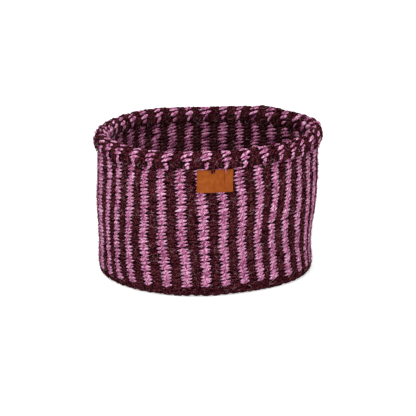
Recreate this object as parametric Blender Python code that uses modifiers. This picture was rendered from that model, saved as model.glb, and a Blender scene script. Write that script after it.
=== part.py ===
"""A twined kiondo basket, built in layers as it is woven.

Folded warp cords run from the base up the wall. Pink and dark weft cover them outside and inside, so
that the two colours stand as upright stripes. Dark rows turn round the foot, a folded cuff holds the
top edge over a cord core, and a leather label is sewn on under the cuff.
"""

import math

import bmesh
import bpy

# Driving sizes in metres. Z is up, the basket stands on Z = 0 and its label faces -Y.
RIM_RADIUS = 0.135
BASKET_HEIGHT = 0.170
BELLY_RADIUS = 0.1298
BELLY_HEIGHT = 0.085
FOOT_RADIUS = 0.126
CLEARANCE = 0.0003
WARP_COUNT = 37

# Layers of the wall, from its outer face inwards, and of the base, from the floor up.
DARK_WEFT = 0.0013
PINK_WEFT = 0.0011
WARP_DIAMETER = 0.0024
BASE_WEFT = 0.0022
COLUMN_INSET = 0.0004
FRAME_BAND = 0.0012
UNION_OVERLAP = 0.0003

# Dark rows round the foot, and the start of the base.
FOOT_HEIGHT = 0.0125
FOOT_ROUNDING = 0.004
FOOT_TURN_IN = 0.006
HAIRPIN_RADIUS = 0.034
HAIRPIN_REACH = 0.0015
START_RADIUS = 0.030

# Folded cuff over the top edge, and the cord core inside it.
CUFF_HEIGHT = 0.019
CUFF_OUTER_LAP = 0.004
CUFF_INNER_LAP = 0.0028
CUFF_ROOF = 0.0035
CREST_RISE = 0.008
LAP_ROUNDING = 0.0015
CORE_DIAMETER = 0.008

# Leather label, with its two stitches of dark yarn.
LABEL_WIDTH = 0.040
LABEL_HEIGHT = 0.026
LABEL_THICKNESS = 0.0016
LABEL_DROP = 0.0022
LABEL_OFFSET = 0.0075
LABEL_ROUNDING = 0.0003
STITCH_DIAMETER = 0.0012
STITCH_INSET = 0.0035
STITCH_HOLE_DIAMETER = 0.0020
STITCH_PLACE_SHARES = (0.42, 0.78)

# Fineness of the surfaces.
MERGE_DISTANCE = 0.00001
CREST_STEPS = 6
BEND_STEPS = 2
CORE_SIDES = 6
LABEL_COLUMNS = 8
LABEL_ROWS = 3
SMOOTH_ANGLE = math.radians(30)

# Angles of the stripes. Every stripe, pink or dark, covers one facet of the round pieces.
FACETS = 2 * WARP_COUNT
FACET_ANGLE = math.tau / FACETS
PINK_ANGLES = [2 * index * FACET_ANGLE for index in range(WARP_COUNT)]
DARK_ANGLES = [(2 * index + 1) * FACET_ANGLE for index in range(WARP_COUNT)]
FACING = -math.pi / 2 - FACET_ANGLE / 2

# Depths of the layers under the wall's outer face.
PINK_DEPTH = DARK_WEFT + CLEARANCE
WARP_DEPTH = PINK_DEPTH + PINK_WEFT + CLEARANCE
INNER_PINK_DEPTH = WARP_DEPTH + WARP_DIAMETER + CLEARANCE
INNER_DARK_DEPTH = INNER_PINK_DEPTH + PINK_WEFT + CLEARANCE
WALL_THICKNESS = INNER_DARK_DEPTH + DARK_WEFT
SKIN_THICKNESS = WARP_DEPTH - CLEARANCE
WARP_LINE_DEPTH = WARP_DEPTH + WARP_DIAMETER / 2

# Heights of the layers of the base.
WARP_LINE_HEIGHT = BASE_WEFT + CLEARANCE + WARP_DIAMETER / 2
UPPER_BASE_HEIGHT = WARP_LINE_HEIGHT + WARP_DIAMETER / 2 + CLEARANCE
BASE_TOP = UPPER_BASE_HEIGHT + BASE_WEFT
INNER_SKIN_BOTTOM = BASE_TOP + CLEARANCE + CLEARANCE

# The warp turns from the base into the wall round this bend.
BEND_RADIUS = BASE_TOP + CLEARANCE - WARP_LINE_HEIGHT
BEND_HEIGHT = WARP_LINE_HEIGHT + BEND_RADIUS

# The wall's outer face at its top, and how far in and out the wall and the cuff reach.
NECK_RADIUS = RIM_RADIUS - CUFF_OUTER_LAP
INNERMOST_RADIUS = min(FOOT_RADIUS, BELLY_RADIUS, NECK_RADIUS) - WALL_THICKNESS
OUTERMOST_RADIUS = max(FOOT_RADIUS, BELLY_RADIUS, RIM_RADIUS)

# Heights of the top edge.
CUFF_BOTTOM = BASKET_HEIGHT - CUFF_HEIGHT
CUFF_CHANNEL_TOP = BASKET_HEIGHT - CUFF_ROOF
WALL_TOP = CUFF_CHANNEL_TOP - CLEARANCE - CORE_DIAMETER - CLEARANCE
OUTER_SKIN_BOTTOM = FOOT_HEIGHT + CLEARANCE


def wall_radius(height):
    """Radius of the wall's outer face: straight from foot to belly, and from belly to neck."""
    if height <= BELLY_HEIGHT:
        return FOOT_RADIUS + (BELLY_RADIUS - FOOT_RADIUS) * height / BELLY_HEIGHT
    rise = (height - BELLY_HEIGHT) / (WALL_TOP - BELLY_HEIGHT)
    return BELLY_RADIUS + (NECK_RADIUS - BELLY_RADIUS) * rise


BEND_CENTRE_RADIUS = wall_radius(BEND_HEIGHT) - WARP_LINE_DEPTH - BEND_RADIUS


def round_point(radius, angle, height):
    """A point in space. Angle 0 is the front, and angles grow towards +X."""
    return (radius * math.sin(angle), -radius * math.cos(angle), height)


def arc(centre_radius, centre_height, reach, start, end, steps):
    """Points of a profile's arc, from one angle to another. Angle 0 points outwards."""
    angles = [start + (end - start) * step / steps for step in range(steps + 1)]
    return [
        (centre_radius + reach * math.cos(angle), centre_height + reach * math.sin(angle))
        for angle in angles
    ]


def new_collection(name):
    collection = bpy.data.collections.new(name)
    bpy.context.scene.collection.children.link(collection)
    return collection


def matt(name, colour, roughness):
    """A matt material of one colour."""
    material = bpy.data.materials.new(name)
    material.use_nodes = True
    material.diffuse_color = (*colour, 1)
    shader = material.node_tree.nodes["Principled BSDF"]
    shader.inputs["Base Color"].default_value = (*colour, 1)
    shader.inputs["Roughness"].default_value = roughness
    shader.inputs["Metallic"].default_value = 0
    return material


def add_object(name, data, collection, material=None):
    obj = bpy.data.objects.new(name, data)
    collection.objects.link(obj)
    if material:
        data.materials.append(material)
    return obj


def as_cutter(obj):
    obj.hide_render = True
    obj.display_type = "WIRE"
    return obj


def turned(name, profile, collection, material=None, closed=True):
    """A round body from a profile of (radius, height) points that runs down its outer side."""
    count = len(profile)
    edges = [(index, (index + 1) % count) for index in range(count if closed else count - 1)]
    mesh = bpy.data.meshes.new(name)
    mesh.from_pydata([(radius, 0, height) for radius, height in profile], edges, [])
    obj = add_object(name, mesh, collection, material)
    obj.rotation_euler.z = FACING
    screw = obj.modifiers.new("turn", "SCREW")
    screw.axis = "Z"
    screw.angle = math.tau
    screw.steps = FACETS
    screw.render_steps = FACETS
    screw.use_merge_vertices = True
    screw.merge_threshold = MERGE_DISTANCE
    return obj


def disc(name, radius, low, high, collection, material):
    profile = [(0, high), (radius, high), (radius, low), (0, low)]
    return turned(name, profile, collection, material, closed=False)


def skin(name, outer_depth, inner_depth, low, high, collection, material=None):
    """One layer of the wall, between two depths under the outer face."""
    rising = [low, BELLY_HEIGHT, high]
    outside = [(wall_radius(height) - outer_depth, height) for height in reversed(rising)]
    inside = [(wall_radius(height) - inner_depth, height) for height in rising]
    return turned(name, outside + inside, collection, material)


def wedges(name, angles, half_width, low, high, collection):
    """A ring of upright wedges that reach right through the wall, one at each angle."""
    inner = INNERMOST_RADIUS - DARK_WEFT
    outer = OUTERMOST_RADIUS + DARK_WEFT
    shape = bmesh.new()
    for angle in angles:
        cube = bmesh.ops.create_cube(shape, size=2)
        for vertex in cube["verts"]:
            across, along, up = vertex.co
            radius = inner if along > 0 else outer
            turn = angle + across * half_width / NECK_RADIUS
            vertex.co = round_point(radius, turn, high if up > 0 else low)
    mesh = bpy.data.meshes.new(name)
    shape.to_mesh(mesh)
    shape.free()
    return as_cutter(add_object(name, mesh, collection))


def combine(obj, other, operation):
    boolean = obj.modifiers.new(other.name, "BOOLEAN")
    boolean.operation = operation
    boolean.object = other
    return obj


def settle(obj):
    """Makes the modified shape the object's own mesh, smooth except across its sharp edges."""
    graph = bpy.context.evaluated_depsgraph_get()
    mesh = bpy.data.meshes.new_from_object(obj.evaluated_get(graph))
    obj.modifiers.clear()
    obj.data = mesh
    mesh.shade_smooth()
    mesh.set_sharp_from_angle(angle=SMOOTH_ANGLE)
    return obj


def as_mesh(curve_object, collection):
    """Turns a tube into a mesh whose end caps are welded on."""
    graph = bpy.context.evaluated_depsgraph_get()
    mesh = bpy.data.meshes.new_from_object(curve_object.evaluated_get(graph))
    name = curve_object.name
    bpy.data.objects.remove(curve_object)
    shape = bmesh.new()
    shape.from_mesh(mesh)
    bmesh.ops.remove_doubles(shape, verts=shape.verts, dist=MERGE_DISTANCE)
    shape.to_mesh(mesh)
    shape.free()
    mesh.shade_smooth()
    mesh.set_sharp_from_angle(angle=SMOOTH_ANGLE)
    return add_object(name, mesh, collection)


def tube(name, points, diameter, corner_steps, collection, material):
    curve = bpy.data.curves.new(name, "CURVE")
    curve.dimensions = "3D"
    curve.bevel_depth = diameter / 2
    curve.bevel_resolution = corner_steps
    curve.use_fill_caps = True
    spline = curve.splines.new("POLY")
    spline.points.add(len(points) - 1)
    for place, point in zip(spline.points, points):
        place.co = (*point, 1)
    return as_mesh(add_object(name, curve, collection, material), collection)


def add_weft(side, colours, pink_angles, depths, low, materials, parts, cutters):
    """The pink and the dark weft of one side of the wall.

    The pink weft is a web next to the warp, with a raised column wherever it comes to the surface.
    The dark weft lies over the web and is open at those columns.
    """
    surface_depth, under_depth, web_depth, back_depth = depths
    facet_width = NECK_RADIUS * FACET_ANGLE
    window_half_width = facet_width / 2 - COLUMN_INSET
    window_low = low + FRAME_BAND
    window_high = WALL_TOP - FRAME_BAND
    window = wedges(
        side + "_windows", pink_angles, window_half_width, window_low, window_high, cutters
    )
    column = wedges(
        side + "_column_places",
        pink_angles,
        window_half_width - CLEARANCE,
        window_low + CLEARANCE,
        window_high - CLEARANCE,
        cutters,
    )
    inward = 1 if back_depth > surface_depth else -1
    column_depths = sorted((surface_depth, web_depth + inward * UNION_OVERLAP))
    columns = as_cutter(skin(side + "_columns", *column_depths, low, WALL_TOP, cutters))
    combine(columns, column, "INTERSECT")
    settle(columns)
    dark_depths = sorted((surface_depth, under_depth))
    dark = skin(colours[0], *dark_depths, low, WALL_TOP, parts, materials["dark"])
    settle(combine(dark, window, "DIFFERENCE"))
    web_depths = sorted((web_depth, back_depth))
    pink = skin(colours[1], *web_depths, low, WALL_TOP, parts, materials["pink"])
    settle(combine(pink, columns, "UNION"))


def add_wall(materials, parts, cutters):
    add_weft(
        "outer",
        ("outer_dark_weft", "outer_pink_weft"),
        PINK_ANGLES,
        (0, DARK_WEFT, PINK_DEPTH, PINK_DEPTH + PINK_WEFT),
        OUTER_SKIN_BOTTOM,
        materials,
        parts,
        cutters,
    )
    add_weft(
        "inner",
        ("inner_dark_weft", "inner_pink_weft"),
        DARK_ANGLES,
        (WALL_THICKNESS, INNER_DARK_DEPTH, INNER_DARK_DEPTH - CLEARANCE, INNER_PINK_DEPTH),
        INNER_SKIN_BOTTOM,
        materials,
        parts,
        cutters,
    )


def warp_leg(angle):
    """Points of one leg of a warp cord, from its hairpin under the base up to the top edge."""
    bend = arc(BEND_CENTRE_RADIUS, BEND_HEIGHT, BEND_RADIUS, -math.pi / 2, 0, BEND_STEPS)
    rising = [
        (wall_radius(height) - WARP_LINE_DEPTH, height) for height in (BELLY_HEIGHT, WALL_TOP)
    ]
    profile = [(HAIRPIN_RADIUS, WARP_LINE_HEIGHT), *bend, *rising]
    return [round_point(radius, angle, height) for radius, height in profile]


def add_warp(materials, parts):
    """Each warp cord is folded into a hairpin, with one leg under a pink and one under a dark column."""
    for index, (pink, dark) in enumerate(zip(PINK_ANGLES, DARK_ANGLES), start=1):
        fold = round_point(HAIRPIN_RADIUS - HAIRPIN_REACH, (pink + dark) / 2, WARP_LINE_HEIGHT)
        points = [*reversed(warp_leg(pink)), fold, *warp_leg(dark)]
        name = f"warp_cord_{index:02d}"
        tube(name, points, WARP_DIAMETER, 0, parts, materials["warp"])


def add_base(materials, parts):
    lower_radius = BEND_CENTRE_RADIUS - FOOT_TURN_IN - CLEARANCE
    upper_radius = BEND_CENTRE_RADIUS - CLEARANCE
    start_low = WARP_LINE_HEIGHT - WARP_DIAMETER / 2
    start_high = WARP_LINE_HEIGHT + WARP_DIAMETER / 2
    dark = materials["dark"]
    settle(disc("base_lower_weft", lower_radius, 0, BASE_WEFT, parts, dark))
    settle(disc("base_start", START_RADIUS, start_low, start_high, parts, materials["warp"]))
    settle(disc("base_upper_weft", upper_radius, UPPER_BASE_HEIGHT, BASE_TOP, parts, dark))


def add_foot_rows(materials, parts):
    """Dark rows that turn from the wall under the base, round the outside of the warp's bend."""
    outer_centre = wall_radius(FOOT_ROUNDING) - FOOT_ROUNDING
    outer = arc(outer_centre, FOOT_ROUNDING, FOOT_ROUNDING, 0, -math.pi / 2, BEND_STEPS)
    inner_reach = BEND_RADIUS + WARP_DIAMETER / 2 + CLEARANCE
    inner = arc(BEND_CENTRE_RADIUS, BEND_HEIGHT, inner_reach, -math.pi / 2, 0, BEND_STEPS)
    turn_in = BEND_CENTRE_RADIUS - FOOT_TURN_IN
    top_outer = (wall_radius(FOOT_HEIGHT), FOOT_HEIGHT)
    top_inner = (wall_radius(FOOT_HEIGHT) - SKIN_THICKNESS, FOOT_HEIGHT)
    profile = [top_outer, *outer, (turn_in, 0), (turn_in, BASE_WEFT), *inner, top_inner]
    settle(turned("foot_rows", profile, parts, materials["dark"]))


def add_cuff(materials, parts):
    """The cuff is folded over the top edge: an outer lap, a rounded crest and an inner lap."""
    inner_radius = NECK_RADIUS - WALL_THICKNESS - CLEARANCE - CUFF_INNER_LAP
    centre = (RIM_RADIUS + inner_radius) / 2
    half_width = (RIM_RADIUS - inner_radius) / 2
    spring = BASKET_HEIGHT - CREST_RISE
    angles = [math.pi * (1 - step / CREST_STEPS) for step in range(CREST_STEPS + 1)]
    crest = [
        (centre + half_width * math.cos(angle), spring + CREST_RISE * math.sin(angle))
        for angle in angles
    ]
    channel_outer = NECK_RADIUS + CLEARANCE
    channel_inner = NECK_RADIUS - WALL_THICKNESS - CLEARANCE
    outer_lap = [
        (RIM_RADIUS, CUFF_BOTTOM + LAP_ROUNDING),
        (RIM_RADIUS - LAP_ROUNDING, CUFF_BOTTOM),
        (channel_outer, CUFF_BOTTOM),
    ]
    channel = [(channel_outer, CUFF_CHANNEL_TOP), (channel_inner, CUFF_CHANNEL_TOP)]
    inner_lap = [
        (channel_inner, CUFF_BOTTOM),
        (inner_radius + LAP_ROUNDING, CUFF_BOTTOM),
        (inner_radius, CUFF_BOTTOM + LAP_ROUNDING),
    ]
    settle(turned("rim_cuff", crest + outer_lap + channel + inner_lap, parts, materials["dark"]))


def add_core(materials, parts):
    """A ring of cord that rests on the wall's top edge and fills the fold of the cuff."""
    centre = NECK_RADIUS - WALL_THICKNESS / 2
    height = WALL_TOP + CLEARANCE + CORE_DIAMETER / 2
    full_circle = arc(centre, height, CORE_DIAMETER / 2, math.pi / 2, -math.tau * 3 / 4, CORE_SIDES)
    settle(turned("rim_core", full_circle[:-1], parts, materials["warp"]))


def label_back(share, height):
    """A point on the label's back, a share of its width from its left edge."""
    radius = wall_radius(height) + CLEARANCE
    along = LABEL_OFFSET + (share - 0.5) * LABEL_WIDTH
    return radius, along / NECK_RADIUS


def add_label(materials, parts, cutters):
    """The label is bent round the wall. A stitch goes through each hole and over the top edge."""
    top = CUFF_BOTTOM - LABEL_DROP
    hole_height = top - STITCH_INSET
    shape = bmesh.new()
    bmesh.ops.create_grid(shape, x_segments=LABEL_COLUMNS, y_segments=LABEL_ROWS, size=0.5)
    for vertex in shape.verts:
        height = top + (vertex.co.y - 0.5) * LABEL_HEIGHT
        radius, angle = label_back(vertex.co.x + 0.5, height)
        vertex.co = round_point(radius, angle, height)
    mesh = bpy.data.meshes.new("leather_label")
    shape.to_mesh(mesh)
    shape.free()
    label = add_object("leather_label", mesh, parts, materials["leather"])
    solid = label.modifiers.new("thickness", "SOLIDIFY")
    solid.thickness = LABEL_THICKNESS
    solid.offset = 1
    rounding = label.modifiers.new("rounding", "BEVEL")
    rounding.width = LABEL_ROUNDING
    rounding.segments = 1
    rounding.limit_method = "ANGLE"
    for number, share in enumerate(STITCH_PLACE_SHARES, start=1):
        radius, angle = label_back(share, hole_height)
        front = radius + LABEL_THICKNESS
        hole = tube(
            f"label_hole_{number}",
            [
                round_point(radius - STITCH_HOLE_DIAMETER, angle, hole_height),
                round_point(front + STITCH_HOLE_DIAMETER, angle, hole_height),
            ],
            STITCH_HOLE_DIAMETER,
            2,
            cutters,
            materials["dark"],
        )
        combine(label, as_cutter(hole), "DIFFERENCE")
        over = top + CLEARANCE + STITCH_DIAMETER / 2
        loop = front + CLEARANCE + STITCH_DIAMETER / 2
        path = [(radius, hole_height), (loop, hole_height), (loop, over), (radius, over)]
        points = [round_point(reach, angle, height) for reach, height in path]
        tube(f"label_stitch_{number}", points, STITCH_DIAMETER, 1, parts, materials["dark"])
    settle(label)


def build():
    for obj in list(bpy.data.objects):
        bpy.data.objects.remove(obj)
    parts = new_collection("kiondo_basket")
    cutters = new_collection("cutters")
    materials = {
        "pink": matt("pink_yarn", (0.50, 0.19, 0.33), 0.85),
        "dark": matt("dark_yarn", (0.045, 0.014, 0.020), 0.9),
        "warp": matt("warp_fibre", (0.09, 0.035, 0.035), 0.9),
        "leather": matt("tan_leather", (0.37, 0.085, 0.018), 0.6),
    }
    add_wall(materials, parts, cutters)
    add_warp(materials, parts)
    add_base(materials, parts)
    add_foot_rows(materials, parts)
    add_cuff(materials, parts)
    add_core(materials, parts)
    add_label(materials, parts, cutters)


build()
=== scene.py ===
"""Looks of the twined basket: each stitch of the weave, the bound edge, the leather label and the light."""

import math

import bpy
import numpy as np
from mathutils import Matrix, Vector


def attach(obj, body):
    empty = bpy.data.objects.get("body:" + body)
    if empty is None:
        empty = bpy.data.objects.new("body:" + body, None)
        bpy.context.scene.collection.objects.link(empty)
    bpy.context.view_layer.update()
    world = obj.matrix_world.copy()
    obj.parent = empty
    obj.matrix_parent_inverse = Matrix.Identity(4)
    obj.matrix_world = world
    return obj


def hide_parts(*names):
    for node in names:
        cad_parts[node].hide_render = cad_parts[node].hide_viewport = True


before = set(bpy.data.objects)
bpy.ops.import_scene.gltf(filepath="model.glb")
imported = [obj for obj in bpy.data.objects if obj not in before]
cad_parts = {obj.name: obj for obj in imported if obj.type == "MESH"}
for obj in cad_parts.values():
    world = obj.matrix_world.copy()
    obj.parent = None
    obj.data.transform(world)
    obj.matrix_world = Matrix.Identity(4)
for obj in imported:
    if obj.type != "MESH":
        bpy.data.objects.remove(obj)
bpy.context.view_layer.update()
rng = np.random.default_rng(37)

MM = 0.001
MM_PER_M = 1000

# Main sizes, in metres.
RIM_RADIUS = 0.135
BASKET_HEIGHT = 0.170
WALL_THICKNESS = 0.0084
FLOOR_TOP = 0.0074
FOOT_TOP = 0.0106
FOOT_RADIUS = 0.1260
FOOT_ROUNDING = 0.0045
FOOT_REST = 0.0010
FLOOR_BEND = 0.007
WALL_TOP = 0.1565
PAIRS = 37
COLUMNS = 2 * PAIRS
COLUMN_TURN = math.tau / COLUMNS
ROW_PITCH = 0.0043
INNER_ROW_PITCH = 0.0040
# The lowest rows lie closer together, by up to this much and over about this many rows.
TIGHTER_BY = 0.0006
TIGHTER_ROWS = 8
# How far the stitches stand off the skin that they lie on.
PROUD = 0.0005

# The outer face of the wall: its radius at some heights.
WALL_HEIGHTS = (0.0, 0.012, 0.040, 0.062, 0.090, 0.131, 0.158, 0.170)
WALL_RADII = (0.1261, 0.1266, 0.1269, 0.1279, 0.1294, 0.1303, 0.1304, 0.1305)

# Outline of the bound edge as (radius, height) points, from its outer hem over the crest to its inner hem.
CUFF_OUTLINE = (
    (0.1308, 0.1500), (0.1328, 0.1515), (0.1339, 0.1550), (0.1343, 0.1595), (0.1337, 0.1640),
    (0.1317, 0.1676), (0.1290, 0.1695), (0.1262, 0.1697), (0.1232, 0.1682), (0.1209, 0.1645),
    (0.1199, 0.1600), (0.1200, 0.1550), (0.1210, 0.1515), (0.1226, 0.1500),
)  # fmt: skip
CUFF_CENTRE = (0.1273, 0.1590)

# How the weaver's hand let the stripes drift round the basket, in degrees, at several heights.
DRIFT_HEIGHTS = (0.012, 0.034, 0.058, 0.080, 0.100, 0.122, 0.147)
DRIFT_ANGLES = (
    -180, -165, -150, -135, -120, -104, -90, -78, -68, -58, -48, -38, -29, -19, -10,
    0, 10, 19, 29, 38, 48, 58, 68, 78, 90, 104, 120, 135, 150, 165, 180,
)  # fmt: skip
DRIFTS = (
    (1.2, 2.1, 3.0, 2.9, 2.8, -2.0, -8.0, -8.0, -5.7, -3.2, -3.5, -2.6, -2.3, -0.7, 0.2,
     0.7, 1.3, 1.9, 1.5, -0.8, 1.9, 3.4, 2.4, 0.2, -2.0, -1.8, -2.6, -2.4, -1.0, 0.1, 1.2),
    (1.2, 2.1, 3.0, 2.9, 2.8, -2.0, -8.0, -8.0, -6.2, -4.9, -5.7, -5.1, -3.8, -1.3, 0.1,
     0.3, 0.4, 0.4, 0.4, -0.4, -0.1, 0.7, 1.0, -0.2, -2.2, -1.8, -2.6, -2.4, -1.0, 0.1, 1.2),
    (1.2, 2.1, 3.0, 2.9, 2.8, -2.0, -8.0, -8.0, -6.1, -5.1, -5.9, -5.8, -5.2, -3.7, -2.3,
     -0.6, -0.8, -1.0, -1.8, -2.5, -2.8, -1.9, -0.8, -2.3, -3.6, -2.4, -2.8, -2.4, -1.0, 0.1, 1.2),
    (1.2, 2.1, 3.0, 2.9, 2.8, -2.0, -8.0, -8.0, -6.2, -4.3, -4.8, -4.8, -4.5, -3.5, -3.1,
     -1.5, -1.0, -1.2, -1.9, -3.4, -4.8, -3.4, -2.2, -4.2, -4.8, -2.8, -3.0, -2.4, -1.0, 0.1, 1.2),
    (1.0, 1.9, 2.9, 2.9, 2.8, -2.0, -8.0, -8.0, -6.2, -3.0, -3.7, -3.7, -3.7, -3.6, -3.1,
     -1.7, -0.5, -1.0, -1.2, -2.2, -3.2, -3.2, -3.0, -4.4, -4.9, -3.0, -3.6, -2.6, -0.7, 0.1, 1.0),
    (0.5, 0.7, 2.0, 1.4, 2.2, -2.0, -8.0, -8.0, -6.0, -1.6, -3.4, -3.5, -4.3, -4.2, -3.3,
     -2.7, -2.2, -2.4, -1.5, -1.6, -2.5, -3.6, -4.4, -4.8, -5.1, -5.3, -5.2, -3.6, -0.3, -0.2, 0.5),
    (1.0, 0.4, 1.5, 1.3, 1.4, -2.0, -8.0, -8.0, -5.8, -1.2, -2.4, -2.5, -3.6, -4.5, -4.0,
     -3.4, -3.6, -4.0, -3.2, -2.9, -3.3, -4.5, -4.8, -5.1, -5.3, -5.4, -4.7, -2.7, -0.1, -0.4, 1.0),
)  # fmt: skip

# On the outer face the stripes past the right-hand side stand wider apart higher up, in degrees.
PARTING_ANGLES = (75, 90, 105, 172)
PARTINGS = (0.0, 4.5, 4.5, 0.0)
PARTING_LOW, PARTING_HIGH = 0.040, 0.125

# How far the groups of the bound edge stand off the stripes below them, in degrees.
RIM_ANGLES = (
    -180, -170, -161, -151, -143, -132, -120, -104, -90, -78, -68, -59, -49, -39, -28, -9,
    0, 18, 37, 54, 62, 90, 119, 132, 151, 162, 171, 180,
)  # fmt: skip
RIM_OFFSETS = (
    5.6, 4.8, 5.0, 4.6, 5.1, 4.9, 3.5, 4.5, 4.5, 8.5, 8.0, 2.3, 2.0, 3.3, 4.1, 4.2,
    2.9, 2.9, 2.2, 0.2, -1.0, 3.0, 5.2, 7.2, 5.8, 5.4, 5.3, 5.6,
)  # fmt: skip

# The ways on the bound edge below are in millimetres from its outer hem.
# These groups are dark on the outer side, up to this way, and lie this much lower in millimetres.
DARK_GROUPS = (9, 29)
DARK_UP_TO = 20
DARK_LOWER = 0.7
# The lowest strands of the groups, below this way, are shorter at some angles.
SHORTER_BELOW = 12
SHORTER_ANGLES = (-85, -72, -45, -33)
SHORTER_SHARES = (1.0, 0.55, 0.55, 1.0)
# How full the strands of the groups are at some angles, below FULLER_FROM and above it.
FULLER_ANGLES = (-180, -149, -120, -80, -52, -20, 20, 52, 85, 110, 130, 152, 180)
FULLER_BELOW = (1.0, 1.0, 1.0, 0.9, 1.2, 1.0, 1.0, 0.85, 0.8, 1.0, 1.0, 1.0, 1.0)
FULLER_ABOVE = (1.0, 0.88, 1.0, 0.9, 1.1, 1.0, 1.0, 0.88, 1.1, 1.3, 1.0, 0.8, 1.0)
FULLER_FROM = 16

# Lean and unevenness of the whole basket, in metres.
LEAN = 0.003
SIDE_SPREAD = math.radians(38)
SIDE_HEIGHTS = (0.0, 0.018, 0.032, 0.046, 0.060, 0.074, 0.094, 0.120, 0.132, 0.150)
SIDES = (
    (-90, (0.0006, 0.0011, 0.0004, 0.0002, 0.0004, 0.0010, 0.0006, -0.0009, -0.0011, -0.0012)),
    (86, (0.0011, 0.0011, -0.0006, -0.0006, 0.0004, 0.0019, 0.0023, 0.0023, 0.0011, 0.0009)),
)
# How far the foot stands out and the lowest rows rise at some angles, in millimetres.
FOOT_ANGLES = (-180, -90, -60, -40, -20, 0, 15, 30, 42, 55, 65, 100, 130, 180)
FOOT_OFFSETS = (0.0, -0.8, -2.4, -1.2, 0.0, -0.8, -2.8, -3.9, -1.6, 0.9, 1.3, 0.6, 0.0, 0.0)
FOOT_FADE = 0.022
FIRST_ROW_ANGLES = (-180, -75, -60, -50, -40, -30, -15, 0, 10, 20, 30, 40, 50, 60, 75, 85, 100, 180)
FIRST_ROW_LIFTS = (
    0.0, 0.0, -0.5, -0.9, -0.5, 0.6, 1.1, 1.1, 2.0, 2.8, 2.6, 1.5, 0.0, -0.5, -0.5, -2.2, -1.2, 0.0,
)  # fmt: skip
LIFT_FADE_UP = 0.030
LIFT_FADE_DOWN = 0.008
# How far the rim rises at some angles, in millimetres.
RIM_LIFT_ANGLES = (
    -180, -172, -160, -150, -136, -120, -100, -86, -70, -60, -50, -40, -30, -20, -10,
    0, 10, 20, 30, 45, 60, 80, 100, 118, 130, 140, 147, 155, 165, 180,
)  # fmt: skip
RIM_LIFTS = (
    -0.9, -0.6, 0.6, 1.9, 2.0, 0.7, -1.0, -1.9, -1.0, -1.0, -2.4, -3.2, -3.3, -3.0, -2.0,
    -1.7, -1.6, -0.9, -0.4, 0.0, 0.3, 1.0, 1.6, 1.8, 1.6, 2.8, 3.4, 1.4, 0.3, -0.9,
)  # fmt: skip


def ease(share):
    share = np.clip(share, 0, 1)
    return share * share * (3 - 2 * share)


def wrapped(angle):
    return (angle + math.pi) % math.tau - math.pi


def around(angle, degrees, values):
    """Values given at some degrees round the basket, blended for these angles."""
    return np.interp(np.degrees(wrapped(angle)), degrees, values)


def place(radius, angle, height):
    """Where a point of the even basket lies in the leaning, slightly uneven one."""
    rise = height / BASKET_HEIGHT
    reach = radius / RIM_RADIUS
    for middle, offsets in SIDES:
        near = np.exp(-((wrapped(angle - math.radians(middle)) / SIDE_SPREAD) ** 2))
        radius = radius + near * reach * np.interp(height, SIDE_HEIGHTS, offsets)
    at_foot = 1 - ease(height / FOOT_FADE)
    radius = radius + MM * around(angle, FOOT_ANGLES, FOOT_OFFSETS) * reach * at_foot
    lift = MM * around(angle, RIM_LIFT_ANGLES, RIM_LIFTS)
    x = radius * np.sin(angle) + LEAN * (2 * rise - 1)
    y = -radius * np.cos(angle)
    return np.stack([x, y, height + lift * reach * rise**3], -1)


def drift(angle, height):
    """Degrees of drift of the stripes, blended between the heights."""
    level = np.interp(height, DRIFT_HEIGHTS, range(len(DRIFTS)))
    total = 0.0
    for number, row in enumerate(DRIFTS):
        share = np.clip(1 - np.abs(level - number), 0, 1)
        total = total + share * around(angle, DRIFT_ANGLES, row)
    return total


def unit(vectors):
    return vectors / np.maximum(np.linalg.norm(vectors, axis=-1, keepdims=True), 1e-12)


class Skin:
    """A turned face of the basket. A place on it is a way along its profile, an angle and a depth."""

    def __init__(self, profile, side, rim=False, outer=False):
        self.profile = np.array(profile)
        lengths = np.linalg.norm(np.diff(self.profile, axis=0), axis=1)
        self.way = np.concatenate([[0], np.cumsum(lengths)])
        along = unit(np.gradient(self.profile, self.way, axis=0))
        self.out = side * np.stack([along[:, 1], -along[:, 0]], 1)
        self.rim = rim
        self.outer = outer

    def radius(self, way):
        return np.interp(way, self.way, self.profile[:, 0])

    def way_of(self, height):
        """The way along the rising part of the profile at which it reaches this height."""
        return float(np.interp(height, self.profile[:, 1], self.way))

    def at(self, way, turn, depth):
        radius = self.radius(way)
        height = np.interp(way, self.way, self.profile[:, 1])
        out = [np.interp(way, self.way, self.out[:, axis]) for axis in (0, 1)]
        out = unit(np.stack(out, -1))
        angle = turn + np.radians(drift(turn, height))
        if self.rim:
            angle = angle + np.radians(around(turn, RIM_ANGLES, RIM_OFFSETS))
        if self.outer:
            share = ease((height - PARTING_LOW) / (PARTING_HIGH - PARTING_LOW))
            angle = angle + np.radians(around(turn, PARTING_ANGLES, PARTINGS)) * share
        return place(radius - depth * out[..., 0], angle, height - depth * out[..., 1])


# How finely the skins' profiles are divided, and one radius on the base.
WALL_POINTS = 60
BEND_POINTS = 8
CUFF_STEPS = 5
MID_BASE = 0.06


def smooth_outline(points, steps):
    """Points on a smooth curve through these, with this many steps between neighbours."""
    points = np.array(points)
    padded = np.concatenate([2 * points[:1] - points[1:2], points, 2 * points[-1:] - points[-2:-1]])
    found = []
    share = (np.arange(steps) / steps)[:, None]
    for index in range(len(points) - 1):
        before, start, end, after = padded[index : index + 4]
        curve = 2 * start + (end - before) * share
        curve = curve + (2 * before - 5 * start + 4 * end - after) * share**2
        found.extend(0.5 * (curve + (3 * start - before - 3 * end + after) * share**3))
    return [*found, points[-1]]


def wall_radius(height):
    return np.interp(height, WALL_HEIGHTS, WALL_RADII)


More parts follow.
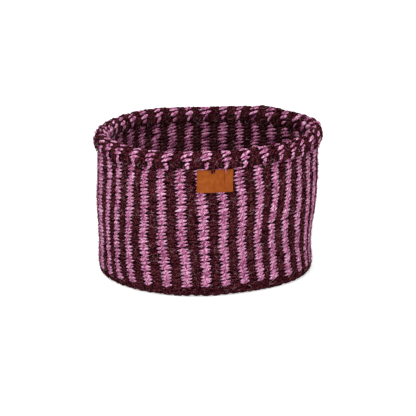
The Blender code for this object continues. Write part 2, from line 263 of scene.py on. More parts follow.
def basin(floor, foot, rounding, start, inset, raised):
    """Profile of a flat base that bends up into the wall."""
    turns = np.linspace(-math.pi / 2, 0, BEND_POINTS)
    middle, centre = foot - rounding, floor + rounding
    bend = [(middle + rounding * math.cos(turn), centre + rounding * math.sin(turn)) for turn in turns]
    heights = np.linspace(start, WALL_TOP, WALL_POINTS)[1:]
    wall = [(wall_radius(height) - inset, height + raised) for height in heights]
    return [(0, floor), (MID_BASE, floor), *bend, *wall]


INNER_FOOT_RADIUS = wall_radius(FLOOR_TOP) - WALL_THICKNESS
INNER_WALL_FROM = FLOOR_TOP + FLOOR_BEND
outer_profile = basin(FOOT_REST, FOOT_RADIUS, FOOT_ROUNDING, FOOT_ROUNDING, 0, FOOT_REST)
inner_profile = basin(FLOOR_TOP, INNER_FOOT_RADIUS, FLOOR_BEND, INNER_WALL_FROM, WALL_THICKNESS, 0)
OUTER = Skin(outer_profile, 1, outer=True)
INNER = Skin(inner_profile, -1)
CUFF = Skin(smooth_outline(CUFF_OUTLINE, CUFF_STEPS), 1, rim=True)


def map_corners(first, second):
    """Corners of faces on the bake map, from the values of both coordinates at each corner."""
    return np.stack([np.stack(first, -1), np.stack(second, -1)], -1)


# Reach of a strand's tip past its last ring, in half widths.
TIP_REACH = 0.6
# How much slower the grain runs along a strand than round it.
GRAIN_STRETCH = 0.22


class Bundle:
    """Strands that share one count of rings and sides, ready to join into a piece."""

    def __init__(self, points, outs, half_width, half_depth, sides, twist, lobes, tint, grain=1.0):
        count, rings = points.shape[:2]
        along = unit(np.gradient(points, axis=1))
        out = unit(outs - (outs * along).sum(-1, keepdims=True) * along)
        across = np.cross(along, out)
        lengths = np.linalg.norm(np.diff(points, axis=1), axis=-1)
        run = np.concatenate([np.zeros((count, 1)), np.cumsum(lengths, 1)], 1)
        turn = np.arange(sides) * math.tau / sides
        spun = turn - (twist * run + rng.uniform(0, math.tau, (count, 1)))[:, :, None]
        swell = 1 + lobes * np.cos(2 * spun)
        wide = (half_width[:, :, None] * swell * np.cos(turn))[..., None]
        deep = (half_depth[:, :, None] * swell * np.sin(turn))[..., None]
        ring = points[:, :, None] + across[:, :, None] * wide + out[:, :, None] * deep
        first = points[:, :1] - along[:, :1] * half_width[:, :1, None] * TIP_REACH
        last = points[:, -1:] + along[:, -1:] * half_width[:, -1:, None] * TIP_REACH
        self.vertices = np.concatenate([ring.reshape(count, -1, 3), first, last], 1)
        reach = half_width.mean() * MM_PER_M * grain
        seed = rng.uniform(-50, 50, (count, 1, 1))
        ahead = run[:, :, None] * MM_PER_M * GRAIN_STRETCH * grain + seed
        fibre = [np.broadcast_to(ahead, spun.shape), np.cos(spun) * reach + seed]
        fibre = np.stack([*fibre, np.sin(spun) * reach - seed], -1).reshape(count, -1, 3)
        self.fibre = np.concatenate([fibre, fibre[:, :1], fibre[:, -1:]], 1)
        share = np.repeat(run / run[:, -1:], sides, 1)
        self.along = np.concatenate([share, np.zeros((count, 1)), np.ones((count, 1))], 1)
        self.tint = np.repeat(np.asarray(tint, float).reshape(count, 1), rings * sides + 2, 1)
        at = np.arange(sides)
        after = (at + 1) % sides
        low = np.arange(rings - 1)[:, None] * sides
        high = low + sides
        quads = np.stack([low + at, high + at, high + after, low + after], -1)
        end, top = rings * sides, (rings - 1) * sides
        first_cap = np.stack([np.full(sides, end), at, after], 1)
        last_cap = np.stack([np.full(sides, end + 1), top + after, top + at], 1)
        self.quads, self.caps = quads.reshape(-1, 4), np.concatenate([first_cap, last_cap])
        # Each face's corners on the strand's own cell of the bake map: along, then around.
        ahead = np.repeat(np.arange(rings - 1), sides) + 1
        beside = np.tile(np.arange(sides), rings - 1)
        scale = np.array([rings + 1.0, sides])
        corners = (ahead, ahead + 1, ahead + 1, ahead), (beside, beside, beside + 1, beside + 1)
        self.quad_map = map_corners(*corners) / scale
        first_ring, last_ring = np.ones(sides), np.full(sides, rings)
        first_cap = map_corners((0 * at, first_ring, first_ring), (at + 0.5, at, at + 1))
        last_cap = map_corners((last_ring + 1, last_ring, last_ring), (at + 0.5, at + 1, at))
        self.cap_map = np.concatenate([first_cap, last_cap]) / scale


# Free share at each side of a strand's own cell of the bake map.
CELL_MARGIN = 0.06


def join(bundles):
    """The arrays of one mesh from several bundles of strands."""
    strands = sum(len(bundle.vertices) for bundle in bundles)
    across = math.ceil(math.sqrt(strands))
    offset, cell = 0, 0
    vertices, loops, starts, maps = [], [], [], []
    loop_at = 0
    for bundle in bundles:
        count, each = bundle.vertices.shape[:2]
        # Nothing reaches below the ground.
        vertices.append(np.maximum(bundle.vertices.reshape(-1, 3), (-np.inf, -np.inf, 0)))
        shift = offset + np.arange(count)[:, None, None] * each
        cells = cell + np.arange(count)
        corner = np.stack([cells % across, cells // across], -1)[:, None, None]
        for faces, face_map in ((bundle.quads, bundle.quad_map), (bundle.caps, bundle.cap_map)):
            loops.append((faces[None] + shift).ravel())
            size = faces.shape[1]
            number = count * len(faces)
            starts.append(loop_at + np.arange(number) * size)
            loop_at += number * size
            inside = CELL_MARGIN + (1 - 2 * CELL_MARGIN) * face_map[None]
            maps.append(((corner + inside) / across).reshape(-1, 2))
        offset += count * each
        cell += count
    return tuple(np.concatenate(part) for part in (vertices, loops, maps, starts))


def mesh_from(name, vertices, loops, uv, starts=None):
    """A mesh with its bake map. Without starts, its faces are quads."""
    starts = np.arange(0, len(loops), 4) if starts is None else starts
    mesh = bpy.data.meshes.new(name)
    mesh.vertices.add(len(vertices))
    mesh.vertices.foreach_set("co", vertices.astype(np.float32).ravel())
    mesh.loops.add(len(loops))
    mesh.loops.foreach_set("vertex_index", loops.astype(np.int32))
    mesh.polygons.add(len(starts))
    mesh.polygons.foreach_set("loop_start", starts.astype(np.int32))
    layer = mesh.uv_layers.new(name="OFBake", do_init=False)
    layer.uv.foreach_set("vector", uv.astype(np.float32).ravel())
    mesh.update(calc_edges=True)
    mesh.shade_smooth()
    return mesh


def add_object(name, data):
    obj = bpy.data.objects.new(name, data)
    bpy.context.scene.collection.objects.link(obj)
    return obj


def add_piece(name, mesh, material, nodes=()):
    obj = add_object(name, mesh)
    mesh.materials.append(material)
    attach(obj, "root")
    if nodes:
        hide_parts(*nodes)


def add_strands(name, bundles, material, nodes=()):
    mesh = mesh_from(name, *join(bundles))
    for field in ("fibre", "along", "tint"):
        values = np.concatenate([getattr(bundle, field).ravel() for bundle in bundles])
        kind, target = ("FLOAT_VECTOR", "vector") if field == "fibre" else ("FLOAT", "value")
        attribute = mesh.attributes.new(field, kind, "POINT")
        attribute.data.foreach_set(target, values.astype(np.float32))
    add_piece(name, mesh, material, nodes)


# Materials.


def linear(*colour):
    """A colour given as on a screen, from 0 to 255."""
    values = np.array(colour) / 255
    found = np.where(values <= 0.04045, values / 12.92, ((values + 0.055) / 1.055) ** 2.4)
    return (*found.tolist(), 1)


def new_material(name, settings):
    material = bpy.data.materials.new(name)
    material.use_nodes = True
    shader = material.node_tree.nodes["Principled BSDF"]
    for key, value in settings.items():
        shader.inputs[key].default_value = value
    return material, material.node_tree, shader


def add_node(tree, kind, **settings):
    node = tree.nodes.new(kind)
    for key, value in settings.items():
        if key in node.inputs:
            node.inputs[key].default_value = value
        else:
            setattr(node, key, value)
    return node


def add_ramp(tree, value, stops):
    """Colours for a value. Each stop is a position and a colour as on a screen."""
    ramp = tree.nodes.new("ShaderNodeValToRGB")
    elements = ramp.color_ramp.elements
    while len(elements) < len(stops):
        elements.new(0.5)
    for element, (position, *colour) in zip(elements, stops):
        element.position = position
        element.color = linear(*colour)
    tree.links.new(value, ramp.inputs["Fac"])
    return ramp.outputs["Color"]


def math_node(tree, operation, first, second):
    node = add_node(tree, "ShaderNodeMath", operation=operation)
    for socket, value in zip(node.inputs, (first, second)):
        if hasattr(value, "is_linked"):
            tree.links.new(value, socket)
        else:
            socket.default_value = value
    return node.outputs[0]


def add_bump(tree, shader, height, strength, distance):
    bump = add_node(tree, "ShaderNodeBump", Strength=strength, Distance=distance)
    tree.links.new(height, bump.inputs["Height"])
    tree.links.new(bump.outputs["Normal"], shader.inputs["Normal"])


# How much a strand's tint counts, and how far from its middle the painted shade of its middle turns into a
# painted highlight towards its ends.
TINT_GAIN = 0.22
TIP_LIGHT_FROM = 0.22


def yarn(name, stops, sheen=0.0, gloss=0.04, relief=0.0003, spread=0.5, contrast=2.6, scale=0.95, painted_tip_light=0.0):
    """Spun fibre: streaks run along each strand, strands differ in tone at random and by painted shade, and
    their ends can get a painted highlight.
    """
    settings = {"Roughness": 0.85, "Sheen Weight": sheen, "Sheen Roughness": 0.6, "Specular IOR Level": gloss}
    material, tree, shader = new_material(name, settings)
    fibre = add_node(tree, "ShaderNodeAttribute", attribute_name="fibre")
    tint = add_node(tree, "ShaderNodeAttribute", attribute_name="tint")
    noise = add_node(tree, "ShaderNodeTexNoise", Scale=scale, Detail=5.0, Roughness=0.72)
    tree.links.new(fibre.outputs["Vector"], noise.inputs["Vector"])
    streak = noise.outputs["Fac"]
    shade = math_node(tree, "MULTIPLY", tint.outputs["Fac"], spread * TINT_GAIN)
    stretched = math_node(tree, "MULTIPLY", streak, contrast)
    lowered = math_node(tree, "SUBTRACT", stretched, (contrast - 1) / 2)
    total = math_node(tree, "ADD", lowered, shade)
    # Painted light: the strand is darker in its middle and brighter towards both ends.
    if painted_tip_light:
        along = add_node(tree, "ShaderNodeAttribute", attribute_name="along")
        off = math_node(tree, "ABSOLUTE", math_node(tree, "SUBTRACT", along.outputs["Fac"], 0.5), 0.0)
        tip_light = math_node(tree, "MULTIPLY", math_node(tree, "SUBTRACT", off, TIP_LIGHT_FROM), painted_tip_light)
        total = math_node(tree, "ADD", total, tip_light)
    tree.links.new(add_ramp(tree, total, stops), shader.inputs["Base Color"])
    add_bump(tree, shader, streak, 0.6, relief)
    return material


PINK = yarn(
    "pink_yarn",
    [(0.1, 104, 30, 72), (0.5, 206, 109, 158), (0.85, 255, 202, 236)],
    sheen=0.03,
    gloss=0.11,
    spread=0.3,
    contrast=4.6,
    scale=1.5,
    painted_tip_light=0.75,
)
# A darker copy of the pink yarn: painted shade for the inside of the basket and the inner side of the bound
# edge.
PINK_SHADED_INSIDE = yarn(
    "pink_yarn_painted_shade",
    [(0.15, 82, 28, 58), (0.5, 158, 76, 118), (0.85, 238, 164, 196)],
    sheen=0.05,
    scale=1.3,
    contrast=3.8,
)
DARK = yarn(
    "dark_yarn",
    [(0.2, 10, 0, 2), (0.52, 30, 0, 8), (0.78, 70, 17, 31), (0.97, 144, 76, 84)],
    gloss=0.0,
    relief=0.0006,
    spread=0.15,
    scale=2.8,
    contrast=5.8,
)
# A copy of the dark yarn whose colours are set for the dimmer light inside the basket: painted shade, used
# inside, on the floor and on the inner side of the bound edge.
DARK_SHADED_INSIDE = yarn(
    "dark_yarn_painted_shade",
    [(0.2, 24, 7, 10), (0.5, 48, 17, 22), (0.75, 71, 31, 37), (0.95, 112, 66, 68)],
    spread=0.3,
    scale=1.5,
    contrast=3.8,
)
WARP = yarn("warp_fibre", [(0.2, 12, 3, 5), (0.8, 34, 12, 14)], relief=0.0004)
HAIR = yarn(
    "loose_fibre",
    [(0.25, 88, 32, 34), (0.5, 134, 74, 84), (0.75, 216, 176, 186)],
    spread=1.4,
)


# The weave.

STITCH_HALF_HEIGHT = 0.0025
STITCH_HALF_DEPTH = 0.0017
PINK_DIVE = 0.0007
DARK_DIVE = 0.0014
PINK_PROUD = 0.0001
DARK_PROUD = -0.0001
PINK_HALF_TURN = 0.55 * COLUMN_TURN
INNER_PINK_HALF_TURN = 0.58 * COLUMN_TURN
DARK_HALF_TURN = 0.72 * COLUMN_TURN
WIDE_COLUMNS = ((-14, 2.0), (17, 1.4))
# How much longer the pink stitches inside are at some angles.
INNER_WIDER_ANGLES = (-150, -125, -60, 60, 125, 150)
INNER_WIDER = (1.0, 1.28, 1.28, 1.3, 1.3, 1.0)
STITCH_SLANT = 0.19
# How much of a stitch is full before it narrows.
STITCH_CORE = 0.05
# What is left of a stitch's height and thickness at its ends.
END_HEIGHT = 0.08
END_THICKNESS = 0.3
# How much the stitches differ in place (in metres), and in the rest as shares.
WAY_SCATTER = 0.00025
TURN_SCATTER = 0.035
LENGTH_SCATTER = 0.06
SLANT_SCATTER = 0.35
ARCH, ARCH_SCATTER = 0.03, 0.06
THICKNESS_SCATTER = 0.07
PROUD_SCATTER = 0.4
HEIGHT_SCATTER = 0.06
# The stripes sway in two waves, the second one shorter and weaker.
WAVER = 0.0005
WAVER_LENGTH = 0.034
SECOND_WAVES, SECOND_SHARE = 2.3, 0.6
PLY_TWIST = 420.0
PLY_LOBES = 0.13
# Painted shade: the tint of outer stitches is lowered by the first amount within the given reach below the
# bound edge, and by the last one on the foot and the underside.
HEM_PAINTED_SHADE = 2.0
HEM_PAINTED_SHADE_REACH = 0.0095
FOOT_PAINTED_SHADE = 1.6


def outs_of(skin, way, turn, depth):
    """The direction away from the skin at each place."""
    lift = 0.0005
    return unit(skin.at(way, turn, depth - lift) - skin.at(way, turn, depth + lift))


def pointed(u, core):
    """How thick a stitch is along its length: full in its core, and down to a point at its ends."""
    return 1 - np.clip((np.abs(u) - core) / (1 - core), 0, 1)


def tapered(least, taper):
    """A share that runs from the least one, where the taper is 0, up to 1."""
    return least + (1 - least) * taper


column_phases = rng.uniform(0, math.tau, (COLUMNS, 2))


def waver(ways, turns):
    """How far a stripe's middle sways to one side, in metres."""
    column = np.round(turns / COLUMN_TURN).astype(int) % COLUMNS
    first = np.sin(ways / WAVER_LENGTH * math.tau + column_phases[column, 0])
    second = np.sin(ways / WAVER_LENGTH * SECOND_WAVES * math.tau + column_phases[column, 1])
    return WAVER * (first + SECOND_SHARE * second)


OUTER_FOOT = OUTER.way_of(FOOT_TOP)
INNER_FOOT = INNER.way_of(INNER_WALL_FROM)


def first_rows(ways, turns):
    """Lifts the lowest rows with pink in them a little, more at some angles than at others."""
    off = ways - OUTER_FOOT
    fade = np.exp(-np.abs(off) / np.where(off > 0, LIFT_FADE_UP, LIFT_FADE_DOWN))
    return ways + MM * around(turns, FIRST_ROW_ANGLES, FIRST_ROW_LIFTS) * fade


# Places where the weave opens between two rows.
LOOSE_ROWS = 22
LOOSE_EDGE = 0.0012
LOOSE_FADE = 0.02
loose_ways = rng.uniform(0.13, 0.27, LOOSE_ROWS)
loose_turns = rng.uniform(0, math.tau, LOOSE_ROWS)
loose_spreads = rng.uniform(0.12, 0.4, LOOSE_ROWS)
loose_openings = rng.uniform(0.0002, 0.0006, LOOSE_ROWS)


def loosened(ways, turns):
    """Moves the rows apart at the loose places."""
    moved = ways
    for way, turn, spread, opening in zip(loose_ways, loose_turns, loose_spreads, loose_openings):
        near = np.exp(-((wrapped(turns - turn) / spread) ** 2) - ((ways - way) / LOOSE_FADE) ** 2)
        moved = moved + opening * np.tanh((ways - way) / LOOSE_EDGE) * near
    return moved


def stitches(skin, ways, turns, half_turn, rings, sides, height, slant, dive, proud=0.0, core=STITCH_CORE):
    """Lens-shaped stitches that come up between two neighbours, cross a warp and dive again."""
    count = len(ways)
    u = np.linspace(-1, 1, rings)[None]
    u = np.sign(u) * np.abs(u) ** 0.85
    turns = turns + waver(ways, turns) / np.maximum(skin.radius(ways), 0.05)
    ways = loosened(first_rows(ways, turns) if skin is OUTER else ways, turns)

    def vary(size):
        return 1 + size * rng.standard_normal((count, 1))

    half_turn = half_turn[:, None]
    turn = turns[:, None] + rng.normal(0, TURN_SCATTER, (count, 1)) * COLUMN_TURN
    turn = turn + u * half_turn * vary(LENGTH_SCATTER)
    half_length = half_turn * skin.radius(ways)[:, None]
    rise = STITCH_SLANT * slant * vary(SLANT_SCATTER) * half_length
    arch = ROW_PITCH * rng.normal(ARCH, ARCH_SCATTER, (count, 1))
    way = ways[:, None] + rng.normal(0, WAY_SCATTER, (count, 1)) + rise * u + arch * (1 - u * u)
    deep = STITCH_HALF_DEPTH * vary(THICKNESS_SCATTER)
    depth = deep - proud - PROUD * vary(PROUD_SCATTER) + dive * np.abs(u) ** 2.6
    taper = pointed(u, core)
    wide = STITCH_HALF_HEIGHT * height * vary(HEIGHT_SCATTER) * tapered(END_HEIGHT, taper)
    thick = deep * tapered(END_THICKNESS, taper)
    points = skin.at(way, turn, depth)
    outs = outs_of(skin, way, turn, depth)
    tint = rng.standard_normal(count)
    if skin is OUTER:
        # Painted shadow: the stitches just under the bound edge are darker.
        tint = tint - HEM_PAINTED_SHADE * (skin.way[-1] - ways < HEM_PAINTED_SHADE_REACH)
        # Painted shade: the stitches of the foot and the underside are darker.
        tint = tint - FOOT_PAINTED_SHADE * (ways < OUTER_FOOT)
    return Bundle(points, outs, wide, thick, sides, PLY_TWIST, PLY_LOBES, tint)


def wall_grid(low, high, parity, pitch):
    """Ways and turns of every second column's stitches, on a rising spiral."""
    columns = np.arange(parity, COLUMNS, 2)
    rows = np.arange(math.ceil((high - low) / (pitch - TIGHTER_BY)) + 1)
    column, row = np.meshgrid(columns, rows)
    number = row + (column + PAIRS) % COLUMNS / COLUMNS
    way = low + pitch * number - TIGHTER_BY * TIGHTER_ROWS * (1 - np.exp(-number / TIGHTER_ROWS))
    turn = column * COLUMN_TURN
    keep = way < high
    return way[keep], turn[keep]


def half_turns(skin, colour, half, turns):
    """Half of the turn that each stitch takes up."""
    halves = np.full(len(turns), half)
    if skin is OUTER:
        for column, wider in WIDE_COLUMNS:
            wide = np.abs(wrapped(turns - column * COLUMN_TURN)) < COLUMN_TURN / 2
            halves = np.where(wide, half * wider, halves)
    elif colour == "pink":
        halves = halves * around(turns, INNER_WIDER_ANGLES, INNER_WIDER)
    return halves


def build_wall():
    """Each face of the wall, in pieces small enough to keep every face of their meshes."""
    for side, skin, foot, pitch, pink_parity, pink_half, rings, sides, slant, pink, dark, most in (
        ("outer", OUTER, OUTER_FOOT, ROW_PITCH, 0, PINK_HALF_TURN, 11, 12, 1.0, PINK, DARK, 680),
        # The inside takes the copies of the yarn with painted shade.
        ("inner", INNER, INNER_FOOT, INNER_ROW_PITCH, 1, INNER_PINK_HALF_TURN, 9, 8, -1.2)
        + (PINK_SHADED_INSIDE, DARK_SHADED_INSIDE, 1300),
    ):
        for colour, parity, half, dive, proud, material in (
            ("pink", pink_parity, pink_half, PINK_DIVE, PINK_PROUD, pink),
            ("dark", 1 - pink_parity, DARK_HALF_TURN, DARK_DIVE, DARK_PROUD, dark),
        ):
            ways, turns = wall_grid(foot, skin.way[-1], parity, pitch)
            halves = half_turns(skin, colour, half, turns)
            order = np.argsort(turns, kind="stable")
            groups = np.array_split(order, math.ceil(len(order) / most))
            shape = {"height": pitch / ROW_PITCH, "slant": slant, "dive": dive, "proud": proud}
            for number, group in enumerate(groups, start=1):
                bundle = stitches(skin, ways[group], turns[group], halves[group], rings, sides, **shape)
                name = f"{side}_{colour}_stitches_{number}"
                add_strands(name, [bundle], material, [f"{side}_{colour}_weft"])


BASE_SHAPE = {"height": 1.05, "slant": 1.6, "dive": 0.0008, "core": 0.45}
BASE_HALF_TURN = 0.66
# Up to this radius the base has crossed spokes of warp, and beyond it the folded cords.
START_REACH = 0.034
SPOKES = 18
SMALLEST_ROW = 0.6 * ROW_PITCH
# How far the rows of the foot go in under the basket.
FOOT_UNDER = 0.004


def ring_columns(radius):
    """How many warps a row of this radius crosses."""
    steps = ((0.063, COLUMNS), (START_REACH, PAIRS), (0.018, SPOKES), (0.0, 12))
    return next(columns for least, columns in steps if radius >= least)


def base_stitches(skin, low, high, rings, sides):
    """Rows round the base. Rows near the middle cross fewer warps."""
    bundles = []
    for row in range(math.ceil((high - low) / ROW_PITCH)):
        way = high - ROW_PITCH * (row + 0.5)
        radius = float(skin.radius(way))
        if radius < SMALLEST_ROW:
            continue
        columns = ring_columns(radius)
        step = math.tau / columns
        column = np.arange(columns)
        ways = way + ROW_PITCH * ((column / columns + 0.5) % 1 - 0.5)
        turns = (column + 0.5 * (row % 2) * (columns < COLUMNS)) * step
        half = np.full(columns, BASE_HALF_TURN * step)
        bundles.append(stitches(skin, ways, turns, half, rings, sides, **BASE_SHAPE))
    return bundles


def build_base():
    under = FOOT_RADIUS - FOOT_ROUNDING - FOOT_UNDER
    turn_in = float(np.interp(under, OUTER.profile[:, 0], OUTER.way))
    for name, skin, low, high, rings, sides, material, node in (
        ("foot_stitches", OUTER, turn_in, OUTER_FOOT, 9, 10, DARK, "foot_rows"),
        ("underside_stitches", OUTER, 0.0, turn_in, 7, 8, DARK, "base_lower_weft"),
        # The floor inside takes the copy of the dark yarn with painted shade.
        ("floor_stitches", INNER, 0.0, INNER_FOOT, 7, 8, DARK_SHADED_INSIDE, "base_upper_weft"),
    ):
        rows = base_stitches(skin, low, high, rings, sides)
        add_strands(name, rows, material, [node])


WARP_RINGS = 44
WARP_SIDES = 8
WARP_TWIST = 260.0
WARP_LOBES = 0.06
# Half of a leg's width as a share of a column, and half of its thickness, less on the base.
WARP_HALF_WIDTH = 0.62
WARP_HALF_THICKNESS = 0.0014
THINNER_ON_BASE = 0.0003
# How deep the legs lie on the base, and where along the profile they come into the wall.
DEPTH_ON_BASE = 0.0034
INTO_WALL, INTO_WALL_OVER = 0.11, 0.02
SPOKE_RINGS = 18
SPOKE_HEIGHT = 0.0038
SPOKE_HALF_WIDTH = 0.0032
SPOKE_FLATNESS = 0.3


def build_warps():
    """Folded warp cords fill the wall and the base between the two faces of the weave."""
    way = np.linspace(START_REACH, OUTER.way[-1], WARP_RINGS)
    side = np.repeat([0.0, 1.0], WARP_RINGS)
    turn = (np.arange(PAIRS)[:, None] * 2 + side) * COLUMN_TURN
    ways = np.repeat(np.concatenate([way[::-1], way])[None], PAIRS, 0)
    on_base = 1 - ease((ways - INTO_WALL) / INTO_WALL_OVER)
    middle = WALL_THICKNESS / 2
    depth = middle + (DEPTH_ON_BASE - middle) * on_base
    outs = outs_of(OUTER, ways, turn, depth)
    half = WARP_HALF_WIDTH * OUTER.radius(ways) * COLUMN_TURN
    thick = WARP_HALF_THICKNESS - THINNER_ON_BASE * on_base
    points, tint = OUTER.at(ways, turn, depth), rng.standard_normal(PAIRS)
    legs = Bundle(points, outs, half, thick, WARP_SIDES, WARP_TWIST, WARP_LOBES, tint)
    nodes = [f"warp_cord_{number:02d}" for number in range(1, PAIRS + 1)]
    add_strands("warp_cords", [legs], WARP, nodes)
    reach = np.linspace(-START_REACH, START_REACH, SPOKE_RINGS)[None]
    points = place(reach, np.arange(SPOKES)[:, None] * math.pi / SPOKES, SPOKE_HEIGHT)
    outs = np.broadcast_to([0.0, 0.0, 1.0], points.shape)
    half = np.full(points.shape[:2], SPOKE_HALF_WIDTH)
    thick, tint = SPOKE_FLATNESS * half, rng.standard_normal(SPOKES)
    spokes = Bundle(points, outs, half, thick, WARP_SIDES, WARP_TWIST, WARP_LOBES, tint)
    add_strands("base_start_cords", [spokes], WARP, ["base_start"])


# The bound edge.

CUFF_LENGTH = float(CUFF.way[-1])
GROUP_TURNS = np.arange(PAIRS) * 2 * COLUMN_TURN
WRAPS_PER_GROUP = 5
WRAP_RINGS = 26
WRAP_INSET = 0.0022
# Mean and scatter of a wrap's lean in millimetres, and of its depth and half width.
WRAP_LEANS = (1.0, 1.3)
WRAP_DEPTHS = (0.0024, 0.0003)
WRAP_HALF_WIDTHS = (0.0022, 0.0002)
# How much the wraps rise between two groups.
WRAP_RISE = 0.0010
WRAP_TWIST = 330.0
EDGE_TWIST = 380.0
EDGE_GRAIN = 0.8
# Half of the width and of the height of the cord in the fold.
CORE_RADII = (0.0062, 0.0085)
# From this way on, the edge faces the inside of the basket, and its strands take the copies of the yarn with
# painted shade.
INSIDE_FROM = 36


def on_cuff(way_from, way_to, turn_from, turn_to, rings, depth, dive, power, bow=0.0):
    """Points of strands on the bound edge, from one place to another, and their outs."""
    share = np.linspace(0, 1, rings)[None]
    u = 2 * share - 1
    way = way_from[:, None] + (way_to - way_from)[:, None] * share + bow * (1 - u * u)
    turn = turn_from[:, None] + (turn_to - turn_from)[:, None] * share
    deep = depth + dive * np.abs(u) ** power
    return CUFF.at(way, turn, deep), outs_of(CUFF, way, turn, deep)


def lens(rings, half, least, power, root):
    """Half widths along strands that narrow towards both ends."""
    u = np.linspace(-1, 1, rings)[None]
    return half[:, None] * tapered(least, np.maximum(1 - np.abs(u) ** power, 0) ** root)


def edge_strands(middle, run, rise, half, proud, rings, turns, sides, bow=0.5, dive=0.0013, loose=1.0):
    """A ring of slanted strands on the bound edge, one at each turn. Runs and rises are in millimetres."""
    count = len(turns)
    runs = run * MM / RIM_RADIUS * rng.normal(1, 0.09 * loose, count)
    rises = rise * MM * rng.normal(1, 0.2 * loose, count)
    centre = middle * MM + rng.normal(0, 0.00045 * loose, count)
    at = turns + rng.normal(0, 0.6 * loose, count) * MM / RIM_RADIUS
    depth = (-proud + rng.normal(0, 0.15 * loose, (count, 1))) * MM
    ends = (centre - rises, centre + rises, at - runs, at + runs)
    points, outs = on_cuff(*ends, rings, depth, dive, 3.5, bow=bow * MM)
    wide = lens(rings, half * MM * rng.normal(1, 0.1 * loose, count), 0.12, 2.0, 0.8)
    tint = rng.standard_normal(count)
    return Bundle(points, outs, wide, 0.85 * wide, sides, EDGE_TWIST, PLY_LOBES, tint, EDGE_GRAIN)


def plied(middle, run, rise, half, proud, rings, turns, **shape):
    """Each strand as two plies that lie side by side."""
    return [
        edge_strands(middle + side * 0.52 * half, run, rise, 0.62 * half, proud, rings, turns, **shape)
        for side in (-1, 1)
    ]


def build_wraps():
    """Dark yarn goes over the edge side by side, with a little lean and sway."""
    count = PAIRS * WRAPS_PER_GROUP
    base = np.arange(count) * math.tau / count
    lean = rng.normal(*WRAP_LEANS, count) * MM / RIM_RADIUS
    low = rng.uniform(0.0, WRAP_INSET, count)
    high = CUFF_LENGTH - rng.uniform(0.0, WRAP_INSET, count)
    between = 0.5 - 0.5 * np.cos(base * PAIRS)
    depth = rng.normal(*WRAP_DEPTHS, (count, 1)) - WRAP_RISE * between[:, None]
    points, outs = on_cuff(low, high, base - lean, base + lean, WRAP_RINGS, depth, 0.0012, 8)
    wide = lens(WRAP_RINGS, rng.normal(*WRAP_HALF_WIDTHS, count), 0.35, 14, 0.5)
    tint = rng.standard_normal(count)
    wraps = Bundle(points, outs, wide, 0.75 * wide, 10, WRAP_TWIST, 0.12, tint, EDGE_GRAIN)
    add_strands("edge_wraps", [wraps], DARK, ["rim_cuff"])


def build_crest():
    """Above its outer hem, dark yarn lies aslant on the edge, as in a rope."""
    dark = {DARK: [], DARK_SHADED_INSIDE: []}
    for middle, run, rise, half, proud in (
        (14.5, 4.8, 2.4, 1.6, -0.4),
        (18.8, 4.8, 2.8, 1.8, 0.0),
        (23.2, 4.8, 3.0, 1.9, 0.4),
        (27.6, 4.8, 3.2, 1.9, 0.4),
        (32.0, 4.8, 3.2, 1.9, 0.2),
        (36.4, 4.8, 3.2, 1.8, 0.0),
        (40.8, 4.4, 3.0, 1.7, -0.2),
        (44.8, 4.0, 2.4, 1.5, -0.5),
    ):
        for phase, lower in ((0.0, 0.9), (0.37, -0.3), (0.63, -0.3)):
            turns = GROUP_TURNS + phase * 2 * COLUMN_TURN
            # Strands on the inner side take the copy of the dark yarn with painted shade.
            material = DARK_SHADED_INSIDE if middle > INSIDE_FROM else DARK
            dark[material] += plied(middle, run, rise, half, proud - lower, 8, turns, sides=8, loose=1.5)
    for number, (material, strands) in enumerate(dark.items(), start=1):
        add_strands(f"edge_crest_{number}", strands, material, ["rim_cuff"])


def build_groups():
    """Pink strands lie over the dark ones in groups, one group to a stripe."""
    pink, pink_shaded, dark = [], [], []
    for middle, run, rise, half, proud, rings, shift, bow in (
        (23.6, 6.6, 0.9, 1.25, 0.7, 16, -0.2, 1.2),
        (18.4, 6.6, 1.9, 1.85, 1.4, 16, 0.0, 0.5),
        (13.6, 5.4, 1.5, 1.55, 1.2, 16, 0.0, 0.5),
        (9.8, 2.4, 1.2, 1.65, 0.9, 10, -0.2, 0.3),
        (6.6, 2.1, 1.1, 1.55, 0.8, 10, -0.2, 0.3),
        (3.8, 1.8, 1.0, 1.45, 0.6, 10, -0.2, 0.3),
        (28.4, 6.2, 1.5, 1.55, 0.8, 16, -0.4, 0.5),
        (33.4, 6.2, 2.0, 2.30, 1.4, 16, -0.6, 0.5),
        (39.4, 3.0, 3.6, 1.90, 1.0, 14, -1.0, 0.0),
    ):
        fuller = FULLER_BELOW if middle < FULLER_FROM else FULLER_ABOVE
        for number, turn in enumerate(GROUP_TURNS):
            length, height, strands = run, proud, pink
            width = half * around(turn, FULLER_ANGLES, fuller)
            if middle < SHORTER_BELOW:
                length = run * around(turn, SHORTER_ANGLES, SHORTER_SHARES)
            if middle <= DARK_UP_TO and number in DARK_GROUPS:
                height, strands = proud - DARK_LOWER, dark
            # Strands on the inner side take the copy of the pink yarn with painted shade.
            elif middle > INSIDE_FROM:
                strands = pink_shaded
            at = np.array([turn + shift * MM / RIM_RADIUS])
            shape = {"sides": 14, "bow": bow, "dive": 0.9 * MM}
            strands.append(edge_strands(middle, length, rise, width, height, rings, at, **shape))
    add_strands("edge_pink_yarn", pink, PINK)
    add_strands("edge_pink_yarn_painted_shade", pink_shaded, PINK_SHADED_INSIDE)
    add_strands("edge_dark_yarn", dark, DARK)


